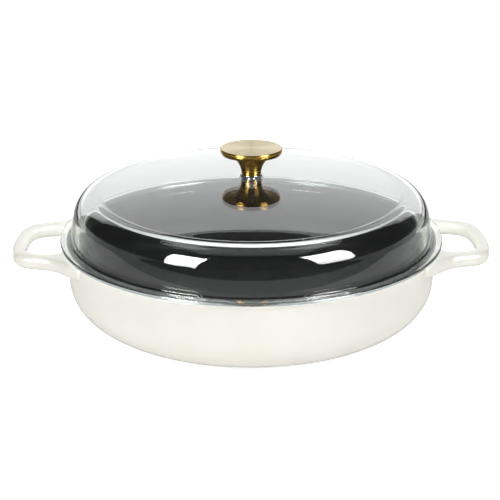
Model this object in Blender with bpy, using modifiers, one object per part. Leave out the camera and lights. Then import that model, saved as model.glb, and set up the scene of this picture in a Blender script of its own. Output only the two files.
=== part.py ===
"""Enamelled cast-iron braiser with a domed glass lid and a metal knob.

Frame: origin at the centre of the underside, +Z up, +X through the right-hand handle.
Lengths are in metres.  Run with: blender --background --python part.py
"""

import math

import bmesh
import bpy
from mathutils import Vector

GAP = 0.0003                    # clearance kept between pieces that touch
MERGE = 0.00005                 # merge distance of the Screw modifiers
MM = 0.001

# Pan casting
PAN_HEIGHT = 58.6 * MM          # underside to the top of the bare rim
RIM_RADIUS = 148.4 * MM         # outside of the rim
WALL_DRAFT = math.radians(3.5)  # how far the wall leans outwards
CORNER_RADIUS = 30.0 * MM       # outside curve from wall to underside
CASTING_WALL = 3.8 * MM
RIM_ROUNDING = 1.0 * MM

# Enamel lining of the pan, which also covers the rim
LINING_THICKNESS = 0.6 * MM
LINING_HEM = 0.9 * MM           # bare width left at the outside of the rim

# Side handles: one flat loop each, drawn in plan for the +X side
HANDLE_MIDDLE_Z = 51.9 * MM
HANDLE_THICKNESS = 11.0 * MM
HANDLE_ROUNDING = 4.2 * MM
HANDLE_TIP_X = 190.6 * MM
HANDLE_BAR = 10.9 * MM          # width of the outer bar

# Glass lid
LID_SEAT_Z = 59.8 * MM          # underside of the flange
FLANGE_RADIUS = 152.5 * MM
FLANGE_THICKNESS = 3.0 * MM
FLANGE_FILLET = 1.5 * MM
GLASS = 5.0 * MM
CROWN_TOP_Z = 109.7 * MM
CROWN_RADIUS = 690.0 * MM
SHOULDER_RADIUS = 20.2 * MM
DOME_LEAN = math.radians(9.4)
DOME_FOOT_RADIUS = 144.9 * MM   # outside of the dome wall at the flange underside
LIP_OUTER_RADIUS = 142.6 * MM
LIP_INNER_RADIUS = 139.6 * MM
LIP_DEPTH = 7.0 * MM
LID_HOLE_RADIUS = 5.0 * MM

# Knob
KNOB_RADIUS = 24.6 * MM
KNOB_EDGE = 3.4 * MM            # thickness of the disc at its edge
KNOB_UNDERSIDE_RADIUS = 23.3 * MM
KNOB_UNDERSIDE_DROP = 4.8 * MM  # from the top face to where the trumpet starts
KNOB_STEM_RADIUS = 7.9 * MM
KNOB_HEIGHT = 21.0 * MM
KNOB_HOLE_RADIUS = 2.8 * MM
KNOB_HOLE_DEPTH = 12.0 * MM
KNOB_FOOT_CHAMFER = 0.4 * MM

# Fastening through the lid, from the top down
RING_RADIUS = 8.3 * MM
RING_THICKNESS = 0.5 * MM
TOP_GASKET_RADIUS = 8.8 * MM
TOP_GASKET_THICKNESS = 0.5 * MM
GROMMET_RADIUS = 10.0 * MM
GROMMET_THICKNESS = 1.5 * MM
FLAT_WASHER_RADIUS = 7.5 * MM
FLAT_WASHER_THICKNESS = 1.0 * MM
LOCK_WASHER_RADIUS = 4.6 * MM
LOCK_WASHER_THICKNESS = 1.3 * MM
LOCK_WASHER_SPLIT = 1.0 * MM
LOCK_WASHER_SLANT = math.radians(20.0)
SCREW_RADIUS = 2.5 * MM         # M5
SCREW_LENGTH = 22.0 * MM
SCREW_HEAD_RADIUS = 4.75 * MM
SCREW_HEAD_HEIGHT = 3.0 * MM
RECESS_WIDTH = 1.1 * MM
RECESS_SPAN = 5.0 * MM
RECESS_DEPTH = 1.6 * MM
WASHER_HOLE_RADIUS = SCREW_RADIUS + GAP

ROUND_STEPS = 60                # facets round the pan and the lid
KNOB_STEPS = 36
SMALL_STEPS = 20

# Finishes: colour, roughness, metallic, alpha
CREAM_ENAMEL = ((0.88, 0.87, 0.80), 0.18, 0.0, 1.0)
BLACK_ENAMEL = ((0.02, 0.02, 0.02), 0.35, 0.0, 1.0)
CLEAR_GLASS = ((0.90, 0.93, 0.92), 0.03, 0.0, 0.3)
GOLD_METAL = ((0.66, 0.50, 0.24), 0.28, 1.0, 1.0)
BRIGHT_STEEL = ((0.80, 0.79, 0.76), 0.2, 1.0, 1.0)
STAINLESS_STEEL = ((0.62, 0.62, 0.62), 0.35, 1.0, 1.0)
BLACK_SILICONE = ((0.02, 0.02, 0.02), 0.7, 0.0, 1.0)


# ---------------------------------------------------------------- helpers

def clear_scene():
    for obj in list(bpy.data.objects):
        bpy.data.objects.remove(obj, do_unlink=True)


def new_collection(name):
    collection = bpy.data.collections.new(name)
    bpy.context.scene.collection.children.link(collection)
    return collection


def make_material(name, color, roughness, metallic, alpha):
    material = bpy.data.materials.new(name)
    material.use_nodes = True
    shader = material.node_tree.nodes["Principled BSDF"]
    shader.inputs["Base Color"].default_value = (*color, 1.0)
    shader.inputs["Roughness"].default_value = roughness
    shader.inputs["Metallic"].default_value = metallic
    shader.inputs["Alpha"].default_value = alpha
    material.diffuse_color = (*color, alpha)
    return material


def arc(centre, radius, start, end, steps):
    """Points on a circle in the X-Z plane, from angle start to angle end."""
    points = []
    for i in range(steps + 1):
        angle = start + (end - start) * i / steps
        points.append((centre[0] + radius * math.cos(angle), centre[1] + radius * math.sin(angle)))
    return points


def turned(name, profile, steps, finish, collection, closed=False):
    """A solid of revolution: profile points run from the top, down the outer side."""
    mesh = bpy.data.meshes.new(name)
    edges = [(i, i + 1) for i in range(len(profile) - 1)]
    if closed:
        edges.append((len(profile) - 1, 0))
    mesh.from_pydata([(x, 0.0, z) for x, z in profile], edges, [])
    obj = bpy.data.objects.new(name, mesh)
    collection.objects.link(obj)
    if finish:
        mesh.materials.append(make_material(name, *finish))
    screw = obj.modifiers.new("Turn", "SCREW")
    screw.axis = "Z"
    screw.angle = 2.0 * math.pi
    screw.steps = steps
    screw.render_steps = steps
    screw.use_merge_vertices = True
    screw.merge_threshold = MERGE
    screw.use_smooth_shade = True
    return obj


def add_boolean(obj, cutter, operation):
    boolean = obj.modifiers.new(f"{operation.title()} {cutter.name}", "BOOLEAN")
    boolean.operation = operation
    boolean.solver = "EXACT"
    boolean.object = cutter


def as_cutter(obj, collection):
    collection.objects.link(obj)
    obj.hide_render = True
    obj.display_type = "WIRE"


def box_cutter(name, size, location, collection):
    mesh = bpy.data.meshes.new(name)
    box = bmesh.new()
    bmesh.ops.create_cube(box, size=1.0)
    bmesh.ops.scale(box, vec=Vector(size), verts=box.verts)
    box.to_mesh(mesh)
    box.free()
    obj = bpy.data.objects.new(name, mesh)
    obj.location = location
    as_cutter(obj, collection)
    return obj


# ---------------------------------------------------------------- pan

def pan_side(offset):
    """Rim-to-underside curve of the pan, moved inwards by offset.

    Returns the centre of the corner curve and the wall's radius at a given height.
    """
    lean = math.tan(WALL_DRAFT)
    corner_top = CORNER_RADIUS * (1.0 - math.sin(WALL_DRAFT))
    outside = RIM_RADIUS - (PAN_HEIGHT - corner_top) * lean
    centre = (outside - CORNER_RADIUS * math.cos(WALL_DRAFT), CORNER_RADIUS)

    def wall_radius(z):
        return RIM_RADIUS - offset / math.cos(WALL_DRAFT) - (PAN_HEIGHT - z) * lean

    return centre, wall_radius


def pan_body(collection, cutters):
    """The casting: a solid pot joined to its handles, then hollowed out."""
    centre, outer = pan_side(0.0)
    rim = PAN_HEIGHT
    profile = [(0.0, rim), (outer(rim) - RIM_ROUNDING, rim)]
    profile.append((outer(rim - RIM_ROUNDING), rim - RIM_ROUNDING))
    profile += arc(centre, CORNER_RADIUS, -WALL_DRAFT, -0.5 * math.pi, 6)
    profile.append((0.0, 0.0))
    body = turned("pan_body", profile, ROUND_STEPS, CREAM_ENAMEL, collection)
    for side in (1.0, -1.0):
        add_boolean(body, handle_loop(side, cutters), "UNION")
    add_boolean(body, cavity(cutters), "DIFFERENCE")
    return body


def cavity(cutters):
    """Cutter for the inside of the casting, flared at the top to round the rim's inner edge."""
    centre, inner = pan_side(CASTING_WALL)
    mouth = PAN_HEIGHT + RIM_ROUNDING
    profile = [
        (0.0, mouth),
        (inner(PAN_HEIGHT) + 2.0 * RIM_ROUNDING, mouth),
        (inner(PAN_HEIGHT - RIM_ROUNDING), PAN_HEIGHT - RIM_ROUNDING),
    ]
    profile += arc(centre, CORNER_RADIUS - CASTING_WALL, -WALL_DRAFT, -0.5 * math.pi, 5)
    profile.append((0.0, CASTING_WALL))
    solid = turned("pan_cavity", profile, ROUND_STEPS, None, cutters)
    solid.hide_render = True
    solid.display_type = "WIRE"
    return solid


def plan_spline(curve, half_outline, side):
    """A closed smooth outline, symmetric about the X axis, from its half at positive Y."""
    mirrored = [(x, -y) for x, y in reversed(half_outline) if y > 0.0]
    points = half_outline + mirrored
    spline = curve.splines.new("BEZIER")
    spline.bezier_points.add(len(points) - 1)
    for knot, (x, y) in zip(spline.bezier_points, points):
        knot.co = (side * x, y, 0.0)
        knot.handle_left_type = "AUTO"
        knot.handle_right_type = "AUTO"
    spline.use_cyclic_u = True
    spline.resolution_u = 2


def handle_loop(side, cutters):
    """One cast loop handle with flared roots that run into the pan's wall."""
    tip = HANDLE_TIP_X
    hole = tip - HANDLE_BAR
    outline = [
        (tip, 0.0),
        (tip - 1.6 * MM, 20.5 * MM),
        (tip - 4.2 * MM, 31.0 * MM),
        (tip - 8.8 * MM, 38.0 * MM),
        (tip - 16.2 * MM, 42.2 * MM),
        (tip - 25.2 * MM, 44.8 * MM),
        (tip - 34.2 * MM, 47.8 * MM),
        (tip - 42.5 * MM, 54.0 * MM),
        (tip - 51.0 * MM, 62.5 * MM),
        (tip - 65.0 * MM, 70.0 * MM),
        (tip - 82.0 * MM, 0.0),
    ]
    finger_hole = [
        (hole, 0.0),
        (hole - 0.7 * MM, 14.0 * MM),
        (hole - 2.4 * MM, 22.5 * MM),
        (hole - 6.4 * MM, 28.6 * MM),
        (hole - 12.6 * MM, 31.8 * MM),
        (hole - 20.0 * MM, 33.2 * MM),
        (hole - 26.0 * MM, 32.2 * MM),
        (hole - 30.5 * MM, 27.0 * MM),
        (hole - 33.5 * MM, 20.0 * MM),
        (hole - 46.0 * MM, 14.0 * MM),
    ]
    name = "right_handle_loop" if side > 0.0 else "left_handle_loop"
    curve = bpy.data.curves.new(name, "CURVE")
    curve.dimensions = "2D"
    curve.fill_mode = "BOTH"
    curve.extrude = 0.5 * HANDLE_THICKNESS - HANDLE_ROUNDING
    curve.bevel_depth = HANDLE_ROUNDING
    curve.bevel_resolution = 1
    curve.offset = -HANDLE_ROUNDING
    plan_spline(curve, outline, side)
    plan_spline(curve, finger_hole, side)
    drawn = bpy.data.objects.new(name, curve)
    cutters.objects.link(drawn)
    drawn.location.z = HANDLE_MIDDLE_Z
    bpy.context.view_layer.update()
    return curve_to_cutter(drawn, cutters)


def curve_to_cutter(drawn, cutters):
    evaluated = drawn.evaluated_get(bpy.context.evaluated_depsgraph_get())
    mesh = bpy.data.meshes.new_from_object(evaluated)
    welded = bmesh.new()
    welded.from_mesh(mesh)
    bmesh.ops.remove_doubles(welded, verts=welded.verts, dist=MERGE)
    bmesh.ops.recalc_face_normals(welded, faces=welded.faces)
    welded.to_mesh(mesh)
    welded.free()
    solid = bpy.data.objects.new(f"{drawn.name}_solid", mesh)
    solid.matrix_world = drawn.matrix_world
    as_cutter(solid, cutters)
    bpy.data.objects.remove(drawn, do_unlink=True)
    return solid


def interior_enamel(collection):
    """Black enamel skin over the floor, the inner wall and the rim."""
    low = CASTING_WALL + GAP
    high = low + LINING_THICKNESS
    centre, low_wall = pan_side(low)
    high_wall = pan_side(high)[1]
    outer = pan_side(0.0)[1]
    rim_low = PAN_HEIGHT + GAP
    rim_high = rim_low + LINING_THICKNESS
    hem = outer(PAN_HEIGHT) - LINING_HEM
    profile = [(0.0, high)]
    profile += arc(centre, CORNER_RADIUS - high, -0.5 * math.pi, -WALL_DRAFT, 5)
    profile += [
        (high_wall(rim_high - RIM_ROUNDING), rim_high - RIM_ROUNDING),
        (high_wall(rim_high) + RIM_ROUNDING, rim_high),
        (hem, rim_high),
        (hem, rim_low),
        (low_wall(PAN_HEIGHT) + RIM_ROUNDING, rim_low),
        (low_wall(PAN_HEIGHT - RIM_ROUNDING), PAN_HEIGHT - RIM_ROUNDING + GAP),
    ]
    profile += arc(centre, CORNER_RADIUS - low, -WALL_DRAFT, -0.5 * math.pi, 5)
    profile.append((0.0, low))
    return turned("interior_enamel", profile, ROUND_STEPS, BLACK_ENAMEL, collection)


# ---------------------------------------------------------------- lid

def shoulder_centre():
    """Centre of the shoulder curve, tangent to the crown and to the leaning wall."""
    reach = CROWN_RADIUS - SHOULDER_RADIUS
    crown_z = CROWN_TOP_Z - CROWN_RADIUS
    lean = math.tan(DOME_LEAN)
    radius = DOME_FOOT_RADIUS
    for _ in range(20):
        height = crown_z + math.sqrt(reach**2 - radius**2)
        above_seat = height + SHOULDER_RADIUS * math.sin(DOME_LEAN) - LID_SEAT_Z
        radius = DOME_FOOT_RADIUS - above_seat * lean - SHOULDER_RADIUS * math.cos(DOME_LEAN)
    return radius, height


def glass_lid(collection):
    centre = shoulder_centre()
    crown_z = CROWN_TOP_Z - CROWN_RADIUS
    tangent = math.atan2(centre[1] - crown_z, centre[0])
    hole_angle = math.acos(LID_HOLE_RADIUS / CROWN_RADIUS)
    seat = LID_SEAT_Z
    flange_top = seat + FLANGE_THICKNESS
    lean = math.tan(DOME_LEAN)
    edge = 0.35 * FLANGE_THICKNESS
    fillet_foot = DOME_FOOT_RADIUS - FLANGE_THICKNESS * lean
    inner_wall = DOME_FOOT_RADIUS - GLASS / math.cos(DOME_LEAN)
    profile = arc((0.0, crown_z), CROWN_RADIUS, hole_angle, tangent, 4)
    profile += arc(centre, SHOULDER_RADIUS, tangent, DOME_LEAN, 5)[1:]
    profile += [
        (fillet_foot - FLANGE_FILLET * lean, flange_top + FLANGE_FILLET),
        (fillet_foot + FLANGE_FILLET, flange_top),
        (FLANGE_RADIUS - edge, flange_top),
        (FLANGE_RADIUS, flange_top - edge),
        (FLANGE_RADIUS, seat + edge),
        (FLANGE_RADIUS - edge, seat),
        (LIP_OUTER_RADIUS, seat),
        (LIP_OUTER_RADIUS, seat - LIP_DEPTH + MM),
        (LIP_OUTER_RADIUS - MM, seat - LIP_DEPTH),
        (LIP_INNER_RADIUS + MM, seat - LIP_DEPTH),
        (LIP_INNER_RADIUS, seat - LIP_DEPTH + MM),
        (inner_wall - FLANGE_THICKNESS * lean, flange_top),
    ]
    profile += arc(centre, SHOULDER_RADIUS - GLASS, DOME_LEAN, tangent, 4)
    profile += arc((0.0, crown_z), CROWN_RADIUS - GLASS, tangent, hole_angle, 3)[1:]
    return turned("glass_lid", profile, ROUND_STEPS, CLEAR_GLASS, collection, closed=True)


# ---------------------------------------------------------------- knob and fastening

def washer(name, radius, low, thickness, finish, collection):
    """A flat ring with a clearance hole for the screw."""
    high = low + thickness
    hole = WASHER_HOLE_RADIUS
    profile = [(hole, high), (radius, high), (radius, low), (hole, low)]
    return turned(name, profile, SMALL_STEPS, finish, collection, closed=True)


def knob(foot_z, collection):
    """Trumpet knob: a thick-edged disc that sweeps down to a narrow stem, a quarter ellipse."""
    top = foot_z + KNOB_HEIGHT
    rounding = 0.3 * KNOB_EDGE
    rim = KNOB_RADIUS - rounding
    profile = [(0.0, top)]
    profile += arc((rim, top - rounding), rounding, 0.5 * math.pi, 0.0, 3)
    profile += arc((rim, top - KNOB_EDGE + rounding), rounding, 0.0, -0.25 * math.pi, 2)
    across = KNOB_UNDERSIDE_RADIUS - KNOB_STEM_RADIUS
    down = KNOB_HEIGHT - KNOB_UNDERSIDE_DROP
    steps = 8
    for i in range(steps):
        turn = 0.5 * math.pi * i / steps
        out = KNOB_STEM_RADIUS + across * (1.0 - math.sin(turn))
        profile.append((out, foot_z + down * math.cos(turn)))
    profile += [
        (KNOB_STEM_RADIUS, foot_z + KNOB_FOOT_CHAMFER),
        (KNOB_STEM_RADIUS - KNOB_FOOT_CHAMFER, foot_z),
        (KNOB_HOLE_RADIUS, foot_z),
        (KNOB_HOLE_RADIUS, foot_z + KNOB_HOLE_DEPTH),
        (0.0, foot_z + KNOB_HOLE_DEPTH + 0.5 * KNOB_HOLE_RADIUS),
    ]
    return turned("knob", profile, KNOB_STEPS, GOLD_METAL, collection)


def lower_grommet(glass_underside, sleeve_top, collection):
    """Silicone washer under the glass with a sleeve that lines the lid's hole."""
    flange_top = glass_underside - GAP
    flange_low = flange_top - GROMMET_THICKNESS
    sleeve = LID_HOLE_RADIUS - GAP
    profile = [
        (WASHER_HOLE_RADIUS, sleeve_top),
        (sleeve, sleeve_top),
        (sleeve, flange_top),
        (GROMMET_RADIUS, flange_top),
        (GROMMET_RADIUS, flange_low),
        (WASHER_HOLE_RADIUS, flange_low),
    ]
    turned("lower_grommet", profile, SMALL_STEPS, BLACK_SILICONE, collection, closed=True)
    return flange_low


def knob_screw(head_top, collection, cutters):
    """Pan-head M5 screw, head down, with a cross recess."""
    tip = head_top + SCREW_LENGTH
    chamfer = 0.5 * MM
    head_low = head_top - SCREW_HEAD_HEIGHT
    profile = [
        (0.0, tip),
        (SCREW_RADIUS - chamfer, tip),
        (SCREW_RADIUS, tip - chamfer),
        (SCREW_RADIUS, head_top),
        (SCREW_HEAD_RADIUS, head_top),
        (SCREW_HEAD_RADIUS, head_low + 1.3 * MM),
        (SCREW_HEAD_RADIUS - 0.5 * MM, head_low + 0.5 * MM),
        (SCREW_HEAD_RADIUS - 1.7 * MM, head_low),
        (0.0, head_low),
    ]
    screw = turned("knob_screw", profile, SMALL_STEPS, STAINLESS_STEEL, collection)
    middle = (0.0, 0.0, head_low)
    long_slot = (RECESS_SPAN, RECESS_WIDTH, 2.0 * RECESS_DEPTH)
    cross_slot = (RECESS_WIDTH, RECESS_SPAN, 2.0 * RECESS_DEPTH)
    add_boolean(screw, box_cutter("recess_along_x", long_slot, middle, cutters), "DIFFERENCE")
    add_boolean(screw, box_cutter("recess_along_y", cross_slot, middle, cutters), "DIFFERENCE")
    return screw


def lock_washer(top, collection, cutters):
    """A ring split by a slanting cut."""
    low = top - LOCK_WASHER_THICKNESS
    ring = washer("lock_washer", LOCK_WASHER_RADIUS, low, LOCK_WASHER_THICKNESS, STAINLESS_STEEL, collection)
    size = (LOCK_WASHER_RADIUS, LOCK_WASHER_SPLIT, 3.0 * LOCK_WASHER_THICKNESS)
    place = (0.8 * LOCK_WASHER_RADIUS, 0.0, 0.5 * (low + top))
    split = box_cutter("lock_washer_split", size, place, cutters)
    split.rotation_euler.x = LOCK_WASHER_SLANT
    add_boolean(ring, split, "DIFFERENCE")
    return low


def fastening(collection, cutters):
    """Knob and the stack of pieces that clamps it to the glass."""
    gasket = CROWN_TOP_Z + GAP
    ring = gasket + TOP_GASKET_THICKNESS + GAP
    foot = ring + RING_THICKNESS + GAP
    washer("upper_gasket", TOP_GASKET_RADIUS, gasket, TOP_GASKET_THICKNESS, BLACK_SILICONE, collection)
    washer("knob_ring", RING_RADIUS, ring, RING_THICKNESS, BRIGHT_STEEL, collection)
    knob(foot, collection)

    underside = CROWN_TOP_Z - CROWN_RADIUS + math.sqrt((CROWN_RADIUS - GLASS)**2 - GROMMET_RADIUS**2)
    stack = lower_grommet(underside, CROWN_TOP_Z, collection)
    stack -= GAP + FLAT_WASHER_THICKNESS
    washer("flat_washer", FLAT_WASHER_RADIUS, stack, FLAT_WASHER_THICKNESS, STAINLESS_STEEL, collection)
    stack = lock_washer(stack - GAP, collection, cutters)
    knob_screw(stack - GAP, collection, cutters)


# ---------------------------------------------------------------- assembly

def build():
    clear_scene()
    parts = new_collection("braiser_with_glass_lid")
    cutters = new_collection("cutters")
    pan_body(parts, cutters)
    interior_enamel(parts)
    glass_lid(parts)
    fastening(parts, cutters)


build()
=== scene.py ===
"""Looks of the enamelled braiser with a glass lid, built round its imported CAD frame.

Frame: origin under the pan, +Z up, +X through the right-hand handle.  Lengths are in metres.
"""

import math

import bmesh
import bpy
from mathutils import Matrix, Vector


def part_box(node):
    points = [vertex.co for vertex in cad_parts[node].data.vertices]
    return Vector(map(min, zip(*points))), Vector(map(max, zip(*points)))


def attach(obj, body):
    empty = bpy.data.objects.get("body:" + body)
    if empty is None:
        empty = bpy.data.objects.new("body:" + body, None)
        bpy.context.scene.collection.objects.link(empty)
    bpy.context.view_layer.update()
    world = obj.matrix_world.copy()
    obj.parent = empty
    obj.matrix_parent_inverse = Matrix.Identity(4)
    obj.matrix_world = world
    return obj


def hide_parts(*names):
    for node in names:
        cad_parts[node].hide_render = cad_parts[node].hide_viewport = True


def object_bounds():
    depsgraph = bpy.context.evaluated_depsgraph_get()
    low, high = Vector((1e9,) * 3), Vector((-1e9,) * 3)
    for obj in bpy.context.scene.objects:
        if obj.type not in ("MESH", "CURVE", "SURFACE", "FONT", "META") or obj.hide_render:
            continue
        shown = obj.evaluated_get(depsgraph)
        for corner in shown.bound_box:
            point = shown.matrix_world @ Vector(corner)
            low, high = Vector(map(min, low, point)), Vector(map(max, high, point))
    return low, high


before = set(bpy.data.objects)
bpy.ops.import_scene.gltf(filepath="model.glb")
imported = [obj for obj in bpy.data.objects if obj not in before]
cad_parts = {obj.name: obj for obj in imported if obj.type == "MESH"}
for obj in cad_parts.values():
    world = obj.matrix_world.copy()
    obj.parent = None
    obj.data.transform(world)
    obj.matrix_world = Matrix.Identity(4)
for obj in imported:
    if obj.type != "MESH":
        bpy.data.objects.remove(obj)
cad_low, cad_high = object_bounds()

MM = 0.001
GAP = 0.3 * MM                  # the CAD's clearance between pieces that touch
TURN = 2.0 * math.pi

# Pan
WALL_DRAFT = math.radians(3.5)
CORNER_RADIUS = 30.0 * MM
CASTING_WALL = 3.8 * MM
RIM_ROUNDING = 1.0 * MM
LINING_THICKNESS = 0.6 * MM

# Handles
HANDLE_MIDDLE_Z = 51.9 * MM
HANDLE_THICKNESS = 11.0 * MM
HANDLE_ROUNDING = 4.2 * MM
HANDLE_BAR = 10.9 * MM
TOP_FILLET = (0.9 * MM, 5.0 * MM)       # rise and reach of the fillet above the root
BOTTOM_FILLET = (4.5 * MM, 6.0 * MM)    # the same below the root
FILLET_FADE = 12.0 * MM                 # stand-off at which the flare's fillet is full
LOOP_STATIONS = 72                      # sections along half a handle

# Lid
FLANGE_THICKNESS = 3.0 * MM
FLANGE_FILLET = 1.5 * MM
FLANGE_ROUNDING = 0.9 * MM
GLASS = 5.0 * MM
CROWN_RADIUS = 690.0 * MM
SHOULDER_RADIUS = 20.2 * MM
EASE_START = 118.0 * MM                 # where the crown's inside turns towards level
EASE_RADIUS = 45.0 * MM                 # from there to the inside of the shoulder
EASE_TILT = math.radians(2.5)           # of the surface from level, where the ease starts
EASE_END_TILT = math.radians(12.0)      # and where it meets the shoulder
DOME_LEAN = math.radians(9.4)
DOME_FOOT_RADIUS = 144.9 * MM
LIP_OUTER_RADIUS = 142.6 * MM
LIP_INNER_RADIUS = 139.6 * MM
LIP_ROUNDING = 1.2 * MM
LID_HOLE_RADIUS = 5.0 * MM

# Knob
KNOB_EDGE = 3.4 * MM
KNOB_UNDERSIDE_RADIUS = 23.3 * MM
KNOB_UNDERSIDE_DROP = 4.8 * MM
KNOB_STEM_RADIUS = 7.9 * MM
KNOB_HOLE_RADIUS = 2.8 * MM
KNOB_HOLE_DEPTH = 12.0 * MM

# Fastening
SCREW_HOLE_RADIUS = 2.8 * MM            # through the washers and gaskets
GROMMET_THICKNESS = 1.5 * MM
LOCK_WASHER_SPLIT = 1.0 * MM
LOCK_WASHER_SLANT = math.radians(20.0)
SCREW_RADIUS = 2.5 * MM
SCREW_HEAD_HEIGHT = 3.0 * MM
THREAD_PITCH = 0.8 * MM
THREAD_RINGS = 8                        # mesh rings to each pitch
THREAD_DEPTH = 0.42 * MM
RECESS_WIDTH = 1.1 * MM
RECESS_SPAN = 5.0 * MM
RECESS_DEPTH = 1.6 * MM

# Mesh
ROUND_STEPS = 240                       # sides round the pan and the lid
KNOB_STEPS = 160
SMALL_STEPS = 72                        # sides round the gaskets, washers and screw
OUTLINE_STEPS = 32                      # points from one handle knot to the next
FLAT_STEPS = 10                         # across the handle's flat top
EDGE_STEPS = 6                          # round a small edge
FINE_EDGE_STEPS = 8
WALL_STEPS = 8                          # up the pan's wall
PAN_CURVE_STEPS = 28                    # from wall to floor, outside
HOLLOW_CURVE_STEPS = 20
LINING_CURVE_STEPS = 24
CROWN_STEPS = 40
SHOULDER_STEPS = 32
INNER_CROWN_STEPS = 36
INNER_SHOULDER_STEPS = 28
EASE_STEPS = 12
STEM_STEPS = 40                         # down the knob's sweep
SHARP_ANGLE = 35.0                      # degrees; flatter edges are shaded smooth
GLASS_SHARP_ANGLE = 50.0
ON_AXIS = 1e-7                          # radius below which a point lies on the axis

# Sockets of the mix node, which share their names between kinds
MIX_COLOR_INPUTS = (6, 7)
MIX_COLOR_OUTPUT = 2
MIX_NUMBER_INPUTS = (2, 3)

# Camera, placed from the aim point
CAMERA_AIM = Vector((-0.0010, 0.0, 0.0467))
CAMERA_DISTANCE = 1.065
CAMERA_ELEVATION = 20.16        # degrees
CAMERA_AZIMUTH = -1.0
CAMERA_LENS = 94.7              # mm on a 36 mm sensor

# Studio.  Radiances are in display units: 1 is white.
FLOOR_RADIUS = 0.8
LAMP_DISTANCE = 2.0
LAMP_AIM_Z = 0.09
SHINE_SPACING = 0.02            # between a softbox and its layers of extra shine, which
                                # make up for the renderer's cap on one lamp's reflection
BACKDROP_DISTANCE = 1.6
BACKDROP_ELEVATION = 39.0       # degrees, seen from the lid
BACKDROP_HALF_WIDTH = 42.0      # degrees
BACKDROP_RADIANCE = 1.2
SEEN_DIRECTLY = 1.05            # the surroundings, by how they are seen
SEEN_THROUGH_GLASS = 1.0
AMBIENT = 0.04                  # the same in reflections and as light
FLOOR_LIFT = 0.7                # glow of the floor for the camera only


# ---------------------------------------------------------------- mesh helpers

def new_object(name, mesh):
    obj = bpy.data.objects.new(name, mesh)
    bpy.context.scene.collection.objects.link(obj)
    return obj


def arc(centre, radius, start, end, steps):
    """Points on a circle in the profile plane, from angle start to angle end."""
    points = []
    for i in range(steps + 1):
        angle = start + (end - start) * i / steps
        points.append((centre[0] + radius * math.cos(angle), centre[1] + radius * math.sin(angle)))
    return points


def rounded(corners, steps=6):
    """A profile with its corners rounded: each corner is (radius, height, rounding)."""
    points = []
    for i, (x, z, rounding) in enumerate(corners):
        if rounding == 0.0:
            points.append((x, z))
            continue
        here = Vector((x, z))
        before = Vector(corners[i - 1][:2])
        after = Vector(corners[(i + 1) % len(corners)][:2])
        into = (before - here).normalized()
        out = (after - here).normalized()
        half = 0.5 * into.angle(out)
        reach = rounding / math.tan(half)
        centre = here + (into + out).normalized() * (rounding / math.sin(half))
        start = here + into * reach - centre
        end = here + out * reach - centre
        sweep = start.angle_signed(end)
        first = math.atan2(start.y, start.x)
        for k in range(steps + 1):
            angle = first - sweep * k / steps
            points.append((centre.x + rounding * math.cos(angle), centre.y + rounding * math.sin(angle)))
    return points


def turned(name, profile, steps, sharp=SHARP_ANGLE, closed=False):
    """A solid of revolution about Z.  A closed profile runs back from its last point to its first."""
    shape = bmesh.new()
    rings = []
    for radius, height in profile:
        if radius < ON_AXIS:
            rings.append([shape.verts.new((0.0, 0.0, height))])
            continue
        ring = []
        for k in range(steps):
            angle = TURN * k / steps
            ring.append(shape.verts.new((radius * math.cos(angle), radius * math.sin(angle), height)))
        rings.append(ring)
    pairs = list(zip(rings, rings[1:]))
    if closed:
        pairs.append((rings[-1], rings[0]))
    for upper, lower in pairs:
        for k in range(steps):
            after = (k + 1) % steps
            corners = [upper[k % len(upper)], lower[k % len(lower)]]
            corners += [lower[after % len(lower)], upper[after % len(upper)]]
            face = list(dict.fromkeys(corners))
            if len(face) > 2:
                shape.faces.new(face)
    bmesh.ops.recalc_face_normals(shape, faces=shape.faces)
    return finished(name, shape, sharp)


def finished(name, shape, sharp=SHARP_ANGLE):
    """Turns a bmesh into a smooth-shaded object."""
    mesh = bpy.data.meshes.new(name)
    shape.to_mesh(mesh)
    shape.free()
    smooth(mesh, sharp)
    return new_object(name, mesh)


def joined(name, rings):
    """A solid skinned over rings of points, with a cap on the first and the last."""
    shape = bmesh.new()
    placed = [[shape.verts.new(point) for point in ring] for ring in rings]
    count = len(placed[0])
    for a, b in zip(placed, placed[1:]):
        for k in range(count):
            shape.faces.new((a[k], a[(k + 1) % count], b[(k + 1) % count], b[k]))
    shape.faces.new(placed[0])
    shape.faces.new(placed[-1])
    bmesh.ops.remove_doubles(shape, verts=shape.verts, dist=1e-6)
    bmesh.ops.recalc_face_normals(shape, faces=shape.faces)
    return finished(name, shape)


def smooth(mesh, sharp=SHARP_ANGLE):
    mesh.shade_smooth()
    mesh.set_sharp_from_angle(angle=math.radians(sharp))


def cut(obj, tool, operation):
    """Applies a boolean to obj and removes the tool."""
    boolean = obj.modifiers.new("Boolean", "BOOLEAN")
    boolean.operation = operation
    boolean.solver = "EXACT"
    boolean.object = tool
    evaluated = obj.evaluated_get(bpy.context.evaluated_depsgraph_get())
    mesh = bpy.data.meshes.new_from_object(evaluated)
    obj.modifiers.remove(boolean)
    old = obj.data
    mesh.name = old.name
    obj.data = mesh
    bpy.data.meshes.remove(old)
    bpy.data.objects.remove(tool, do_unlink=True)


# ---------------------------------------------------------------- materials

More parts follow.
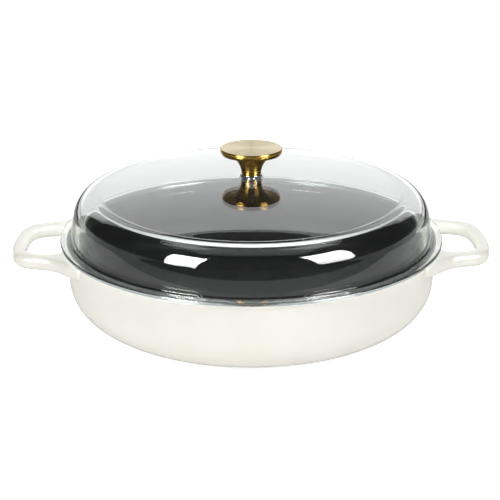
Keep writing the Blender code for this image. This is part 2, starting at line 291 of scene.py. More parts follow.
class Paint:
    """A Principled material with its node tree at hand."""

    def __init__(self, name, color, roughness, metallic=0.0):
        self.material = bpy.data.materials.new(name)
        self.material.use_nodes = True
        self.tree = self.material.node_tree
        self.shader = self.tree.nodes["Principled BSDF"]
        self.output = self.tree.nodes["Material Output"]
        self.set("Base Color", (*color, 1.0))
        self.set("Roughness", roughness)
        self.set("Metallic", metallic)

    def set(self, socket, value):
        self.shader.inputs[socket].default_value = value

    def node(self, kind, **settings):
        made = self.tree.nodes.new(kind)
        for key, value in settings.items():
            setattr(made, key, value)
        return made

    def link(self, source, target):
        self.tree.links.new(source, target)

    def place(self):
        """Coordinates fixed to the object, in metres."""
        return self.node("ShaderNodeTexCoord").outputs["Object"]

    def noise(self, scale, detail=2.0, roughness=0.5, vector=None):
        made = self.node("ShaderNodeTexNoise")
        made.inputs["Scale"].default_value = scale
        made.inputs["Detail"].default_value = detail
        made.inputs["Roughness"].default_value = roughness
        self.link(vector or self.place(), made.inputs["Vector"])
        return made.outputs["Fac"]

    def spread(self, value, low, high, first=0.3, last=0.7):
        """Maps a 0 to 1 pattern onto the range low to high."""
        made = self.node("ShaderNodeMapRange")
        made.inputs["From Min"].default_value = first
        made.inputs["From Max"].default_value = last
        made.inputs["To Min"].default_value = low
        made.inputs["To Max"].default_value = high
        self.link(value, made.inputs["Value"])
        return made.outputs["Result"]

    def blend(self, value, first, second):
        """A colour between first and second, by a 0 to 1 pattern."""
        made = self.node("ShaderNodeMix", data_type="RGBA")
        made.inputs[MIX_COLOR_INPUTS[0]].default_value = (*first, 1.0)
        made.inputs[MIX_COLOR_INPUTS[1]].default_value = (*second, 1.0)
        self.link(value, made.inputs["Factor"])
        return made.outputs[MIX_COLOR_OUTPUT]

    def color_by(self, pattern, first, second):
        self.link(self.blend(pattern, first, second), self.shader.inputs["Base Color"])

    def roughness_by(self, pattern, low, high):
        self.link(self.spread(pattern, low, high), self.shader.inputs["Roughness"])

    def bump(self, height, distance, strength=1.0):
        made = self.node("ShaderNodeBump")
        made.inputs["Strength"].default_value = strength
        made.inputs["Distance"].default_value = distance
        self.link(height, made.inputs["Height"])
        self.link(made.outputs["Normal"], self.shader.inputs["Normal"])

    def rings(self, per_metre, detail=3.0):
        """Fine uneven rings round the Z axis, as a lathe or a brush leaves them."""
        split = self.node("ShaderNodeSeparateXYZ")
        self.link(self.place(), split.inputs[0])
        squares = []
        for axis in ("X", "Y"):
            square = self.node("ShaderNodeMath", operation="MULTIPLY")
            self.link(split.outputs[axis], square.inputs[0])
            self.link(split.outputs[axis], square.inputs[1])
            squares.append(square.outputs[0])
        total = self.node("ShaderNodeMath", operation="ADD")
        self.link(squares[0], total.inputs[0])
        self.link(squares[1], total.inputs[1])
        radius = self.node("ShaderNodeMath", operation="SQRT")
        self.link(total.outputs[0], radius.inputs[0])
        made = self.node("ShaderNodeTexNoise", noise_dimensions="1D")
        made.inputs["Scale"].default_value = per_metre
        made.inputs["Detail"].default_value = detail
        self.link(radius.outputs[0], made.inputs["W"])
        return made.outputs["Fac"]

    def turned_grain(self, amount):
        """Stretches reflections across the grooves that a lathe leaves round the Z axis."""
        self.set("Anisotropic", amount)
        self.set("Anisotropic Rotation", 0.25)      # a quarter turn
        tangent = self.node("ShaderNodeTangent", direction_type="RADIAL", axis="Z")
        self.link(tangent.outputs[0], self.shader.inputs["Tangent"])


def cream_enamel():
    """Glossy cream enamel: slight mottling and a faint orange peel."""
    paint = Paint("cream_enamel", (0.90, 0.885, 0.81), 0.16)
    mottle = paint.spread(paint.noise(38.0, 4.0), 0.0, 1.0)
    paint.color_by(mottle, (0.885, 0.868, 0.790), (0.905, 0.892, 0.822))
    paint.roughness_by(paint.noise(90.0, 3.0), 0.13, 0.20)
    paint.bump(paint.noise(420.0, 2.0), 0.00002, 0.6)
    paint.set("Coat Weight", 0.25)
    paint.set("Coat Roughness", 0.08)
    return paint.material


def black_enamel():
    """Satin black enamel with a fine gritty surface."""
    paint = Paint("black_enamel", (0.008, 0.008, 0.008), 0.35)
    paint.set("Specular IOR Level", 0.08)
    grain = paint.noise(2600.0, 3.0, 0.7)
    speck = paint.spread(grain, 0.0, 1.0, 0.45, 0.75)
    paint.color_by(speck, (0.004, 0.004, 0.004), (0.012, 0.012, 0.012))
    paint.roughness_by(paint.noise(60.0, 4.0), 0.36, 0.48)
    paint.bump(grain, 0.00006, 0.5)
    return paint.material


def clear_glass():
    """Tempered glass, faintly green through its edge.  Lamps shine through it without caustics."""
    paint = Paint("clear_glass", (1.0, 1.0, 1.0), 0.0)
    paint.set("IOR", 1.5)
    paint.set("Transmission Weight", 1.0)
    paint.bump(paint.noise(16.0, 1.0), 0.0004, 0.15)
    clear = paint.node("ShaderNodeBsdfTransparent")
    clear.inputs["Color"].default_value = (0.93, 0.95, 0.945, 1.0)
    ray = paint.node("ShaderNodeLightPath")
    mix = paint.node("ShaderNodeMixShader")
    paint.link(ray.outputs["Is Shadow Ray"], mix.inputs["Fac"])
    paint.link(paint.shader.outputs[0], mix.inputs[1])
    paint.link(clear.outputs[0], mix.inputs[2])
    paint.link(mix.outputs[0], paint.output.inputs["Surface"])
    tint = paint.node("ShaderNodeVolumeAbsorption")
    tint.inputs["Color"].default_value = (0.55, 0.80, 0.72, 1.0)
    tint.inputs["Density"].default_value = 9.0
    paint.link(tint.outputs[0], paint.output.inputs["Volume"])
    return paint.material


def ground_glass_painted_dark():
    """The flange's ground and polished edge, with a slight haze, tinted darker: painted shade for the dark
    lining and surroundings seen through and in the edge.
    """
    paint = Paint("ground_glass_painted_dark", (0.30, 0.34, 0.33), 0.1)
    paint.set("IOR", 1.5)
    paint.set("Transmission Weight", 1.0)
    grain = paint.noise(900.0, 2.0)
    paint.roughness_by(grain, 0.06, 0.16)
    paint.bump(grain, 0.00002, 0.4)
    return paint.material


def gold_polished():
    """Gold-coloured plated metal, polished, with faint turning marks."""
    paint = Paint("gold_polished", (0.42, 0.26, 0.062), 0.24, 1.0)
    marks = paint.rings(2600.0)
    paint.roughness_by(marks, 0.20, 0.30)
    haze = paint.spread(paint.noise(110.0, 3.0), 0.0, 1.0)
    paint.color_by(haze, (0.39, 0.24, 0.055), (0.45, 0.28, 0.070))
    paint.bump(marks, 0.00001, 0.5)
    paint.turned_grain(0.8)
    return paint.material


def gold_brushed_lit_top():
    """The knob's top face: the same metal, brushed in circles, in a paler gold than the polished sides:
    painted light on the top face.
    """
    paint = Paint("gold_brushed_lit_top", (0.57, 0.49, 0.315), 0.32, 1.0)
    marks = paint.rings(9000.0, 4.0)
    paint.color_by(paint.spread(marks, 0.0, 1.0), (0.53, 0.455, 0.285), (0.61, 0.53, 0.345))
    paint.roughness_by(marks, 0.27, 0.38)
    paint.bump(marks, 0.00002, 0.6)
    paint.turned_grain(0.75)
    return paint.material


def bright_metal(name, color, low, high):
    """Turned metal with fine rings in its colour and roughness."""
    paint = Paint(name, color, high, 1.0)
    marks = paint.rings(7000.0)
    paint.roughness_by(marks, low, high)
    shade = tuple(0.93 * channel for channel in color)
    paint.color_by(paint.spread(marks, 0.0, 1.0), shade, color)
    paint.bump(marks, 0.00001, 0.5)
    return paint.material


def black_silicone():
    """Matt black rubber, faintly grainy."""
    paint = Paint("black_silicone", (0.02, 0.02, 0.02), 0.6)
    grain = paint.noise(1800.0, 3.0)
    paint.roughness_by(grain, 0.52, 0.72)
    cloud = paint.spread(paint.noise(400.0), 0.0, 1.0)
    paint.color_by(cloud, (0.017, 0.017, 0.018), (0.026, 0.026, 0.027))
    paint.bump(grain, 0.00003, 0.5)
    return paint.material


def pale_floor():
    """A plain pale sheet, lifted to white for the eye only."""
    paint = Paint("pale_floor", (0.90, 0.90, 0.90), 0.9)
    tone = paint.spread(paint.noise(3.0), 0.0, 1.0)
    paint.color_by(tone, (0.895, 0.895, 0.895), (0.905, 0.905, 0.905))
    paint.set("Specular IOR Level", 0.0)
    glow = paint.node("ShaderNodeEmission")
    glow.inputs["Strength"].default_value = FLOOR_LIFT
    none = paint.node("ShaderNodeEmission")
    none.inputs["Strength"].default_value = 0.0
    ray = paint.node("ShaderNodeLightPath")
    lift = paint.node("ShaderNodeMixShader")
    paint.link(ray.outputs["Is Camera Ray"], lift.inputs["Fac"])
    paint.link(none.outputs[0], lift.inputs[1])
    paint.link(glow.outputs[0], lift.inputs[2])
    both = paint.node("ShaderNodeAddShader")
    paint.link(paint.shader.outputs[0], both.inputs[0])
    paint.link(lift.outputs[0], both.inputs[1])
    paint.link(both.outputs[0], paint.output.inputs["Surface"])
    return paint.material


# ---------------------------------------------------------------- pan

def pan_sizes():
    """Rim height and outer rim radius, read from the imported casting."""
    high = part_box("pan_body")[1]
    return high.z, high.y


PAN_HEIGHT, RIM_RADIUS = pan_sizes()
SEAT_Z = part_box("interior_enamel")[1].z + GAP      # underside of the lid's flange


def wall_radius(offset, z):
    """Radius of the pan's wall at height z, moved inwards by offset."""
    return RIM_RADIUS - offset / math.cos(WALL_DRAFT) - (PAN_HEIGHT - z) * math.tan(WALL_DRAFT)


def corner_centre():
    """Centre of the curve from wall to floor, shared by every surface of the pan."""
    top = CORNER_RADIUS * (1.0 - math.sin(WALL_DRAFT))
    return wall_radius(0.0, top) - CORNER_RADIUS * math.cos(WALL_DRAFT), CORNER_RADIUS


def pot():
    """The pan's outside as a solid, with a rounded rim edge."""
    profile = [(0.0, PAN_HEIGHT), (0.9 * RIM_RADIUS, PAN_HEIGHT)]
    edge = (wall_radius(0.0, PAN_HEIGHT) - RIM_ROUNDING, PAN_HEIGHT - RIM_ROUNDING)
    profile += arc(edge, RIM_ROUNDING, 0.5 * math.pi, -WALL_DRAFT, EDGE_STEPS)
    corner = corner_centre()
    top = corner[1] - CORNER_RADIUS * math.sin(WALL_DRAFT)
    for i in range(1, WALL_STEPS):
        z = edge[1] + (top - edge[1]) * i / WALL_STEPS
        profile.append((wall_radius(0.0, z), z))
    profile += arc(corner, CORNER_RADIUS, -WALL_DRAFT, -0.5 * math.pi, PAN_CURVE_STEPS)
    profile.append((0.0, 0.0))
    return turned("pan", profile, ROUND_STEPS)


def pot_hollow():
    """The pan's inside as a solid, flared at the mouth to bevel the rim's inner edge."""
    mouth = PAN_HEIGHT + RIM_ROUNDING
    profile = [
        (0.0, mouth),
        (wall_radius(CASTING_WALL, PAN_HEIGHT) + 2.0 * RIM_ROUNDING, mouth),
        (wall_radius(CASTING_WALL, PAN_HEIGHT - RIM_ROUNDING), PAN_HEIGHT - RIM_ROUNDING),
    ]
    hollow_curve = CORNER_RADIUS - CASTING_WALL
    profile += arc(corner_centre(), hollow_curve, -WALL_DRAFT, -0.5 * math.pi, HOLLOW_CURVE_STEPS)
    profile.append((0.0, CASTING_WALL))
    return turned("pan_hollow", profile, ROUND_STEPS)


def half_curve(points, count):
    """Evenly spaced points on a smooth curve through the given plan points, from the X axis on."""
    curve = bpy.data.curves.new("outline", "CURVE")
    spline = curve.splines.new("BEZIER")
    mirrored = [(x, -y) for x, y in reversed(points) if y > 0.0]
    outline = points + mirrored
    spline.bezier_points.add(len(outline) - 1)
    for knot, (x, y) in zip(spline.bezier_points, outline):
        knot.co = (x, y, 0.0)
        knot.handle_left_type = "AUTO"
        knot.handle_right_type = "AUTO"
    spline.use_cyclic_u = True
    spline.resolution_u = OUTLINE_STEPS
    drawn = new_object("outline", curve)
    evaluated = drawn.evaluated_get(bpy.context.evaluated_depsgraph_get())
    mesh = bpy.data.meshes.new_from_object(evaluated)
    wanted = (len(points) - 1) * OUTLINE_STEPS + 1
    path = [vertex.co.xy.copy() for vertex in mesh.vertices[:wanted]]
    bpy.data.objects.remove(drawn, do_unlink=True)
    bpy.data.curves.remove(curve)
    bpy.data.meshes.remove(mesh)
    lengths = [0.0]
    for a, b in zip(path, path[1:]):
        lengths.append(lengths[-1] + (b - a).length)
    even = []
    k = 0
    for i in range(count + 1):
        want = lengths[-1] * i / count
        while k < len(lengths) - 2 and lengths[k + 1] < want:
            k += 1
        share = (want - lengths[k]) / (lengths[k + 1] - lengths[k])
        even.append(path[k].lerp(path[k + 1], share))
    return even


def fillet(distance, rise, reach):
    """Height of an elliptical fillet at a distance outside the wall."""
    share = min(max(distance / reach, 0.0), 1.0)
    return rise * (1.0 - math.sqrt(1.0 - (1.0 - share)**2))


def loop_section(inner, outer):
    """Closed ring of points round the handle between two plan points."""
    half = 0.5 * HANDLE_THICKNESS
    top_wall = wall_radius(0.0, HANDLE_MIDDLE_Z + half)
    bottom_wall = wall_radius(0.0, HANDLE_MIDDLE_Z - half - BOTTOM_FILLET[0])
    fade = min(max((outer.length - top_wall) / FILLET_FADE, 0.0), 1.0)
    fade = fade * fade * (3.0 - 2.0 * fade)
    across = outer - inner
    width = across.length
    side = half - HANDLE_ROUNDING
    rounding = min(HANDLE_ROUNDING, 0.45 * width)
    outline = []
    for i in range(FLAT_STEPS + 1):
        outline.append((rounding + (width - 2.0 * rounding) * i / FLAT_STEPS, half))
    top = FLAT_STEPS + 1
    outline += arc((width - rounding, side), rounding, 0.5 * math.pi, 0.0, EDGE_STEPS)[1:]
    outline += [(x, -z) for x, z in reversed(outline[top:])]
    outline += [(width - x, -z) for x, z in outline[:top]]
    outline += [(width - x, -z) for x, z in outline[top:top + 2 * EDGE_STEPS]]
    ring = []
    for along, z in outline:
        plan = inner + across * (along / width)
        if z > 0.0:
            z += fade * fillet(plan.length - top_wall, *TOP_FILLET)
        else:
            z -= fade * fillet(plan.length - bottom_wall, *BOTTOM_FILLET)
        ring.append((plan.x, plan.y, HANDLE_MIDDLE_Z + z))
    return ring


def handle_solid(side):
    """One cast loop handle: sections between the outer outline and the finger hole."""
    tip = cad_high.x
    hole = tip - HANDLE_BAR
    outline = [
        (tip, 0.0),
        (tip - 1.6 * MM, 20.5 * MM),
        (tip - 4.2 * MM, 31.0 * MM),
        (tip - 8.8 * MM, 38.0 * MM),
        (tip - 16.2 * MM, 42.2 * MM),
        (tip - 25.2 * MM, 44.8 * MM),
        (tip - 34.2 * MM, 47.8 * MM),
        (tip - 42.5 * MM, 54.0 * MM),
        (tip - 51.0 * MM, 62.5 * MM),
        (tip - 62.0 * MM, 68.5 * MM),
    ]
    finger_hole = [
        (hole, 0.0),
        (hole - 0.7 * MM, 14.0 * MM),
        (hole - 2.4 * MM, 22.5 * MM),
        (hole - 6.4 * MM, 28.6 * MM),
        (hole - 12.6 * MM, 31.8 * MM),
        (hole - 20.0 * MM, 33.2 * MM),
        (hole - 26.0 * MM, 32.2 * MM),
        (hole - 30.5 * MM, 27.0 * MM),
        (hole - 33.5 * MM, 20.0 * MM),
        (hole - 42.0 * MM, 14.0 * MM),
    ]
    outer = half_curve(outline, LOOP_STATIONS)
    inner = half_curve(finger_hole, LOOP_STATIONS)
    rings = []
    for i in range(LOOP_STATIONS, -LOOP_STATIONS - 1, -1):
        near = inner[abs(i)].copy()
        far = outer[abs(i)].copy()
        if i < 0:
            near.y = -near.y
            far.y = -far.y
        ring = loop_section(near, far)
        rings.append([(side * x, y, z) for x, y, z in ring])
    return joined("handle", rings)


def make_pan(material):
    """The casting: pot and both loop handles, hollowed after they are joined."""
    pan = pot()
    for side in (1.0, -1.0):
        cut(pan, handle_solid(side), "UNION")
    cut(pan, pot_hollow(), "DIFFERENCE")
    smooth(pan.data)
    pan.data.materials.clear()
    pan.data.materials.append(material)
    carry(pan, "pan", "cream_enamel", "pan_body")


def make_lining(material):
    """Black enamel over the floor, the wall and the rim."""
    low = CASTING_WALL + GAP
    high = low + LINING_THICKNESS
    box_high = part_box("interior_enamel")[1]
    hem = box_high.y
    rim_high = box_high.z
    rim_low = rim_high - LINING_THICKNESS
    centre = corner_centre()
    turn_in = RIM_ROUNDING
    profile = [(0.0, high)]
    profile += arc(centre, CORNER_RADIUS - high, -0.5 * math.pi, -WALL_DRAFT, LINING_CURVE_STEPS)
    mouth = wall_radius(high, rim_high)
    bend = (mouth + turn_in, rim_high - turn_in)
    profile += arc(bend, turn_in, math.pi, 0.5 * math.pi, FINE_EDGE_STEPS)
    edge = 0.5 * LINING_THICKNESS
    profile += arc((hem - edge, rim_high - edge), edge, 0.5 * math.pi, -0.5 * math.pi, EDGE_STEPS)
    profile += [
        (wall_radius(low, PAN_HEIGHT) + turn_in, rim_low),
        (wall_radius(low, PAN_HEIGHT - turn_in), PAN_HEIGHT - turn_in + GAP),
    ]
    profile += arc(centre, CORNER_RADIUS - low, -WALL_DRAFT, -0.5 * math.pi, HOLLOW_CURVE_STEPS)
    profile.append((0.0, low))
    lining = turned("lining", profile, ROUND_STEPS)
    lining.data.materials.append(material)
    carry(lining, "pan", "black_enamel", "interior_enamel")


def carry(piece, body, slot, *nodes):
    """Ties a finished piece to its body and hides the CAD nodes it stands for. The slot argument is not
    used.
    """
    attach(piece, body)
    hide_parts(*nodes)


# ---------------------------------------------------------------- lid

def shoulder_centre(crown):
    """Centre of the shoulder curve, tangent to the crown and to the leaning wall."""
    reach = CROWN_RADIUS - SHOULDER_RADIUS
    radius = DOME_FOOT_RADIUS
    for _ in range(20):
        height = crown.y + math.sqrt(reach**2 - radius**2)
        above_seat = height + SHOULDER_RADIUS * math.sin(DOME_LEAN) - SEAT_Z
        radius = DOME_FOOT_RADIUS - above_seat * math.tan(DOME_LEAN) - SHOULDER_RADIUS * math.cos(DOME_LEAN)
    return Vector((radius, height))


def tilted(radius, tilt):
    """Offset of a surface point from its curve's centre, at a tilt from level."""
    return Vector((radius * math.sin(tilt), radius * math.cos(tilt)))


def inside_of_dome(crown, wall):
    """The dome's inner profile, upwards: wall, shoulder, the ease that thickens it, crown.

    wall is the radius at the seat to which the inner wall would run down.
    """
    inner = CROWN_RADIUS - GLASS
    ease_angle = math.acos(EASE_START / inner)
    start = crown + tilted(inner, 0.5 * math.pi - ease_angle)
    ease = start - tilted(EASE_RADIUS, EASE_TILT)
    end = ease + tilted(EASE_RADIUS, EASE_END_TILT)
    unit = tilted(1.0, 0.5 * math.pi - DOME_LEAN) - tilted(1.0, EASE_END_TILT)
    lean = math.tan(DOME_LEAN)
    radius = (wall - end.x - (end.y - SEAT_Z) * lean) / (unit.x + unit.y * lean)
    shoulder = end - tilted(radius, EASE_END_TILT)
    low = 0.5 * math.pi - EASE_END_TILT
    high = 0.5 * math.pi - EASE_TILT
    hole_angle = math.acos(LID_HOLE_RADIUS / CROWN_RADIUS)
    points = arc(shoulder, radius, DOME_LEAN, low, INNER_SHOULDER_STEPS)
    points += arc(ease, EASE_RADIUS, low, high, EASE_STEPS)[1:]
    return points + arc(crown, inner, ease_angle, hole_angle, INNER_CROWN_STEPS)


def make_glass_lid(material, edge_material):
    """Crown, shoulder, leaning wall, flange and seat lip, in one closed profile."""
    low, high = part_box("glass_lid")
    hole_drop = CROWN_RADIUS - math.sqrt(CROWN_RADIUS**2 - LID_HOLE_RADIUS**2)
    crown = Vector((0.0, high.z + hole_drop - CROWN_RADIUS))
    shoulder = shoulder_centre(crown)
    tangent = math.atan2(shoulder.y - crown.y, shoulder.x)
    hole_angle = math.acos(LID_HOLE_RADIUS / CROWN_RADIUS)
    lean = math.tan(DOME_LEAN)
    flange_top = SEAT_Z + FLANGE_THICKNESS
    inner_wall = DOME_FOOT_RADIUS - GLASS / math.cos(DOME_LEAN)
    fillet_wall = DOME_FOOT_RADIUS - FLANGE_THICKNESS * lean + FLANGE_FILLET
    profile = arc(crown, CROWN_RADIUS, hole_angle, tangent, CROWN_STEPS)
    profile += arc(shoulder, SHOULDER_RADIUS, tangent, DOME_LEAN, SHOULDER_STEPS)[1:]
    fillet_centre = (fillet_wall, flange_top + FLANGE_FILLET)
    profile += arc(fillet_centre, FLANGE_FILLET, math.pi, 1.5 * math.pi, FINE_EDGE_STEPS)
    edge = high.y - FLANGE_ROUNDING
    upper = (edge, flange_top - FLANGE_ROUNDING)
    profile += arc(upper, FLANGE_ROUNDING, 0.5 * math.pi, 0.0, FINE_EDGE_STEPS)
    lower = (edge, SEAT_Z + FLANGE_ROUNDING)
    profile += arc(lower, FLANGE_ROUNDING, 0.0, -0.5 * math.pi, FINE_EDGE_STEPS)
    profile.append((LIP_OUTER_RADIUS, SEAT_Z))
    lip_z = low.z + LIP_ROUNDING
    outer_edge = (LIP_OUTER_RADIUS - LIP_ROUNDING, lip_z)
    profile += arc(outer_edge, LIP_ROUNDING, 0.0, -0.5 * math.pi, EDGE_STEPS)
    inner_edge = (LIP_INNER_RADIUS + LIP_ROUNDING, lip_z)
    profile += arc(inner_edge, LIP_ROUNDING, -0.5 * math.pi, -math.pi, EDGE_STEPS)
    profile.append((inner_wall - FLANGE_THICKNESS * lean, flange_top))
    profile += inside_of_dome(crown, inner_wall)
    lid = turned("glass_dome", profile, ROUND_STEPS, sharp=GLASS_SHARP_ANGLE, closed=True)
    lid.data.materials.append(material)
    lid.data.materials.append(edge_material)
    # Faces on the flange's outer edge take the darker glass: painted shade.
    painted_dark_edge_from = high.y - 0.7 * FLANGE_ROUNDING
    for face in lid.data.polygons:
        if face.center.xy.length > painted_dark_edge_from:
            face.material_index = 1
    carry(lid, "lid", "clear_glass", "glass_lid")


# ---------------------------------------------------------------- knob and fastening

def make_knob(brushed, polished):
    """Trumpet knob: flat brushed top, thick edge, and an underside that sweeps into the stem."""
    low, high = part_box("knob")
    radius = high.y
    rounding = 0.3 * KNOB_EDGE
    rim = radius - rounding
    profile = [(0.0, high.z), (0.5 * rim, high.z)]
    profile += arc((rim, high.z - rounding), rounding, 0.5 * math.pi, 0.0, FINE_EDGE_STEPS)
    under_edge = (rim, high.z - KNOB_EDGE + rounding)
    profile += arc(under_edge, rounding, 0.0, -0.25 * math.pi, EDGE_STEPS)
    across = KNOB_UNDERSIDE_RADIUS - KNOB_STEM_RADIUS
    down = high.z - low.z - KNOB_UNDERSIDE_DROP
    for i in range(STEM_STEPS):
        turn = 0.5 * math.pi * i / STEM_STEPS
        stem = KNOB_STEM_RADIUS + across * (1.0 - math.sin(turn))
        profile.append((stem, low.z + down * math.cos(turn)))
    foot = 0.4 * MM
    profile += arc((KNOB_STEM_RADIUS - foot, low.z + foot), foot, 0.0, -0.5 * math.pi, 4)
    profile += [
        (KNOB_HOLE_RADIUS, low.z),
        (KNOB_HOLE_RADIUS, low.z + KNOB_HOLE_DEPTH),
        (0.0, low.z + KNOB_HOLE_DEPTH + 0.5 * KNOB_HOLE_RADIUS),
    ]
    knob = turned("trumpet_knob", profile, KNOB_STEPS)
    knob.data.materials.append(polished)
    knob.data.materials.append(brushed)
    # The top face takes the paler gold: painted light.
    for face in knob.data.polygons:
        if face.center.z > high.z - 1e-5:
            face.material_index = 1
    carry(knob, "knob", "gold_metal", "knob")


def washer_section(low, high, edge, steps):
    """Section of a flat ring round the screw, between the corners of its CAD node's box."""
    corners = [
        (SCREW_HOLE_RADIUS, high.z, edge),
        (high.y, high.z, edge),
        (high.y, low.z, edge),
        (SCREW_HOLE_RADIUS, low.z, edge),
    ]
    return rounded(corners, steps)


def make_disc(name, node, material, body, slot, edge):
    """A washer, gasket or ring with rounded edges, as large as its CAD node."""
    low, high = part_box(node)
    disc = turned(name, washer_section(low, high, edge, 4), SMALL_STEPS, closed=True)
    disc.data.materials.append(material)
    carry(disc, body, slot, node)


def make_grommet(material):
    """Silicone washer under the glass, with the sleeve that lines the lid's hole."""
    low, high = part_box("lower_grommet")
    flange_top = low.z + GROMMET_THICKNESS
    sleeve = LID_HOLE_RADIUS - GAP
    soft = 0.3 * MM
    corners = [
        (SCREW_HOLE_RADIUS, high.z, soft),
        (sleeve, high.z, soft),
        (sleeve, flange_top, 0.0),
        (high.y, flange_top, soft),
        (high.y, low.z, soft),
        (SCREW_HOLE_RADIUS, low.z, soft),
    ]
    grommet = turned("sleeve_grommet", rounded(corners, 4), SMALL_STEPS, closed=True)
    grommet.data.materials.append(material)
    carry(grommet, "lid", "black_silicone", "lower_grommet")


def make_lock_washer(material):
    """Spring washer: a square-section ring, split by a slanting gap."""
    low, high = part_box("lock_washer")
    section = washer_section(low, high, 0.15 * MM, 3)
    middle = 0.5 * (low.z + high.z)
    rings = []
    for k in range(SMALL_STEPS + 1):
        ring = []
        for radius, z in section:
            half_split = 0.5 * LOCK_WASHER_SPLIT / radius
            slant = (z - middle) * math.tan(LOCK_WASHER_SLANT) / radius
            angle = slant + half_split + (TURN - 2.0 * half_split) * k / SMALL_STEPS
            ring.append((radius * math.cos(angle), radius * math.sin(angle), z))
        rings.append(ring)
    washer = joined("split_washer", rings)
    washer.data.materials.append(material)
    carry(washer, "lid", "stainless_steel", "lock_washer")


def make_screw(material):
    """Pan-head screw, head down: a V thread on the shank and a cross recess in the head."""
    low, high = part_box("knob_screw")
    head_top = low.z + SCREW_HEAD_HEIGHT
    profile = [(0.0, high.z)]
    levels = int((high.z - head_top) / THREAD_PITCH * THREAD_RINGS)
    for i in range(levels + 1):
        profile.append((SCREW_RADIUS, high.z + (head_top - high.z) * i / levels))
    head = [
        (SCREW_RADIUS, head_top, 0.0),
        (high.y, head_top, 0.2 * MM),
        (high.y, low.z, 1.5 * MM),
        (0.0, low.z, 0.0),
    ]
    profile += rounded(head)[1:]
    screw = turned("pan_head_screw", profile, SMALL_STEPS)
    for vertex in screw.data.vertices:
        radius = vertex.co.xy.length
        above = vertex.co.z - head_top
        if above < 1e-6 or radius < 1e-6:
            continue
        turns = math.atan2(vertex.co.y, vertex.co.x) / TURN
        phase = (above / THREAD_PITCH - turns) % 1.0
        start = min(above / THREAD_PITCH, 1.0)
        point = max(1.0 - (high.z - vertex.co.z) / THREAD_PITCH, 0.0)
        depth = THREAD_DEPTH * max(start * abs(2.0 * phase - 1.0), point)
        vertex.co.xy *= 1.0 - depth / radius
    for angle in (0.0, 0.5 * math.pi):
        shape = bmesh.new()
        bmesh.ops.create_cube(shape, size=1.0)
        size = Vector((RECESS_SPAN, RECESS_WIDTH, 2.0 * RECESS_DEPTH))
        bmesh.ops.scale(shape, vec=size, verts=shape.verts)
        arm = finished("recess", shape)
        arm.location.z = low.z
        arm.rotation_euler.z = angle
        bpy.context.view_layer.update()
        cut(screw, arm, "DIFFERENCE")
    smooth(screw.data)
    screw.data.materials.clear()
    screw.data.materials.append(material)
    carry(screw, "lid", "stainless_steel", "knob_screw")


def make_scene():
    cream = cream_enamel()
    black = black_enamel()
    glass = clear_glass()
    polished = gold_polished()
    brushed = gold_brushed_lit_top()
    bright = bright_metal("bright_ring", (0.80, 0.78, 0.73), 0.10, 0.20)
    steel = bright_metal("stainless_steel", (0.62, 0.62, 0.62), 0.22, 0.34)
    silicone = black_silicone()
    make_pan(cream)
    make_lining(black)
    make_glass_lid(glass, ground_glass_painted_dark())
    make_knob(brushed, polished)
    make_disc("bright_ring", "knob_ring", bright, "knob_ring", "bright_ring", 0.2 * MM)
    make_disc("top_gasket", "upper_gasket", silicone, "lid", "black_silicone", 0.15 * MM)
    make_grommet(silicone)
    make_disc("plain_washer", "flat_washer", steel, "lid", "stainless_steel", 0.2 * MM)
    make_lock_washer(steel)
    make_screw(steel)


# ---------------------------------------------------------------- studio

def direction(azimuth, elevation):
    """Unit vector: azimuth 0 towards the camera's side, 90 towards +X, in degrees."""
    around = math.radians(azimuth)
    above = math.radians(elevation)
    return Vector((math.sin(around) * math.cos(above), -math.cos(around) * math.cos(above), math.sin(above)))


def make_floor(material):
    bpy.ops.mesh.primitive_circle_add(vertices=96, radius=FLOOR_RADIUS, fill_type="NGON")
    floor = bpy.context.object
    floor.name = "floor"
    floor.data.materials.append(material)


def make_camera():
    back = direction(CAMERA_AZIMUTH, CAMERA_ELEVATION)
    data = bpy.data.cameras.new("camera")
    data.lens = CAMERA_LENS
    camera = new_object("camera", data)
    camera.location = CAMERA_AIM + back * CAMERA_DISTANCE
    camera.rotation_mode = "QUATERNION"
    camera.rotation_quaternion = (-back).to_track_quat("-Z", "Y")
    bpy.context.scene.camera = camera


def lamp(name, way, distance, size, radiance, gloss_only=False):
    """A rectangular lamp that faces the lid from the given direction."""
    data = bpy.data.lights.new(name, "AREA")
    data.shape = "RECTANGLE"
    data.size, data.size_y = size
    data.energy = radiance * math.pi * size[0] * size[1]
    box = new_object(name, data)
    box.location = way * distance + Vector((0.0, 0.0, LAMP_AIM_Z))
    box.rotation_mode = "QUATERNION"
    box.rotation_quaternion = (-way).to_track_quat("-Z", "Y")
    box.visible_camera = False
    box.visible_diffuse = not gloss_only
    return box


def softbox(name, azimuth, elevation, width, height, radiance, *shine):
    """A softbox of the given angular size, with layers of extra shine seen only in reflections."""
    way = direction(azimuth, elevation)
    for layer, brightness in enumerate((radiance, *shine)):
        distance = LAMP_DISTANCE + SHINE_SPACING * layer
        size = tuple(2.0 * distance * math.tan(0.5 * math.radians(angle)) for angle in (width, height))
        lamp(f"{name}_{layer}", way, distance, size, brightness, gloss_only=layer > 0)


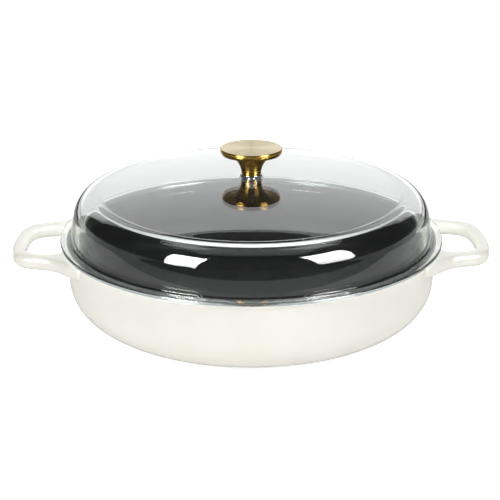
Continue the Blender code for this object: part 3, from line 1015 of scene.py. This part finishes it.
def make_backdrop():
    """A bright wall behind the pan, up to the height where its reflection in the lid ends."""
    height = BACKDROP_DISTANCE * math.tan(math.radians(BACKDROP_ELEVATION)) + LAMP_AIM_Z
    width = 2.0 * BACKDROP_DISTANCE * math.tan(math.radians(BACKDROP_HALF_WIDTH))
    way = Vector((0.0, 1.0, 0.0))
    wall = lamp("backdrop", way, BACKDROP_DISTANCE, (width, height), BACKDROP_RADIANCE)
    wall.location.z = 0.5 * height


def make_world():
    """White where the eye looks past or through the glass, dark in reflections."""
    world = bpy.data.worlds.new("studio")
    bpy.context.scene.world = world
    world.use_nodes = True
    tree = world.node_tree
    background = tree.nodes["Background"]
    background.inputs["Color"].default_value = (1.0, 1.0, 1.0, 1.0)
    ray = tree.nodes.new("ShaderNodeLightPath")
    bounces = tree.nodes.new("ShaderNodeMath")
    bounces.operation = "ADD"
    tree.links.new(ray.outputs["Diffuse Depth"], bounces.inputs[0])
    tree.links.new(ray.outputs["Glossy Depth"], bounces.inputs[1])
    reflected = tree.nodes.new("ShaderNodeMath")
    reflected.operation = "GREATER_THAN"
    tree.links.new(bounces.outputs[0], reflected.inputs[0])
    reflected.inputs[1].default_value = 0.5
    through = tree.nodes.new("ShaderNodeMix")
    tree.links.new(ray.outputs["Is Camera Ray"], through.inputs["Factor"])
    through.inputs[MIX_NUMBER_INPUTS[0]].default_value = SEEN_THROUGH_GLASS
    through.inputs[MIX_NUMBER_INPUTS[1]].default_value = SEEN_DIRECTLY
    pick = tree.nodes.new("ShaderNodeMix")
    tree.links.new(reflected.outputs[0], pick.inputs["Factor"])
    tree.links.new(through.outputs[0], pick.inputs[MIX_NUMBER_INPUTS[0]])
    pick.inputs[MIX_NUMBER_INPUTS[1]].default_value = AMBIENT
    tree.links.new(pick.outputs[0], background.inputs["Strength"])


def make_studio():
    make_floor(pale_floor())
    make_world()
    make_backdrop()
    # azimuth, elevation, width and height in degrees, radiance, extra shine
    softbox("left_box", -43.5, 21.5, 21.0, 36.0, 8.0, 10.0, 8.0)
    softbox("right_box", 51.5, 27.5, 25.0, 36.0, 6.5, 10.0, 3.0)
    softbox("top_box", 0.0, 90.0, 50.0, 50.0, 0.5)
    softbox("back_left_box", -132.0, 66.0, 16.0, 14.0, 2.0)
    softbox("back_right_box", 132.0, 66.0, 16.0, 14.0, 2.0)
    make_camera()
    bpy.context.scene.view_settings.view_transform = "Standard"


make_scene()
make_studio()
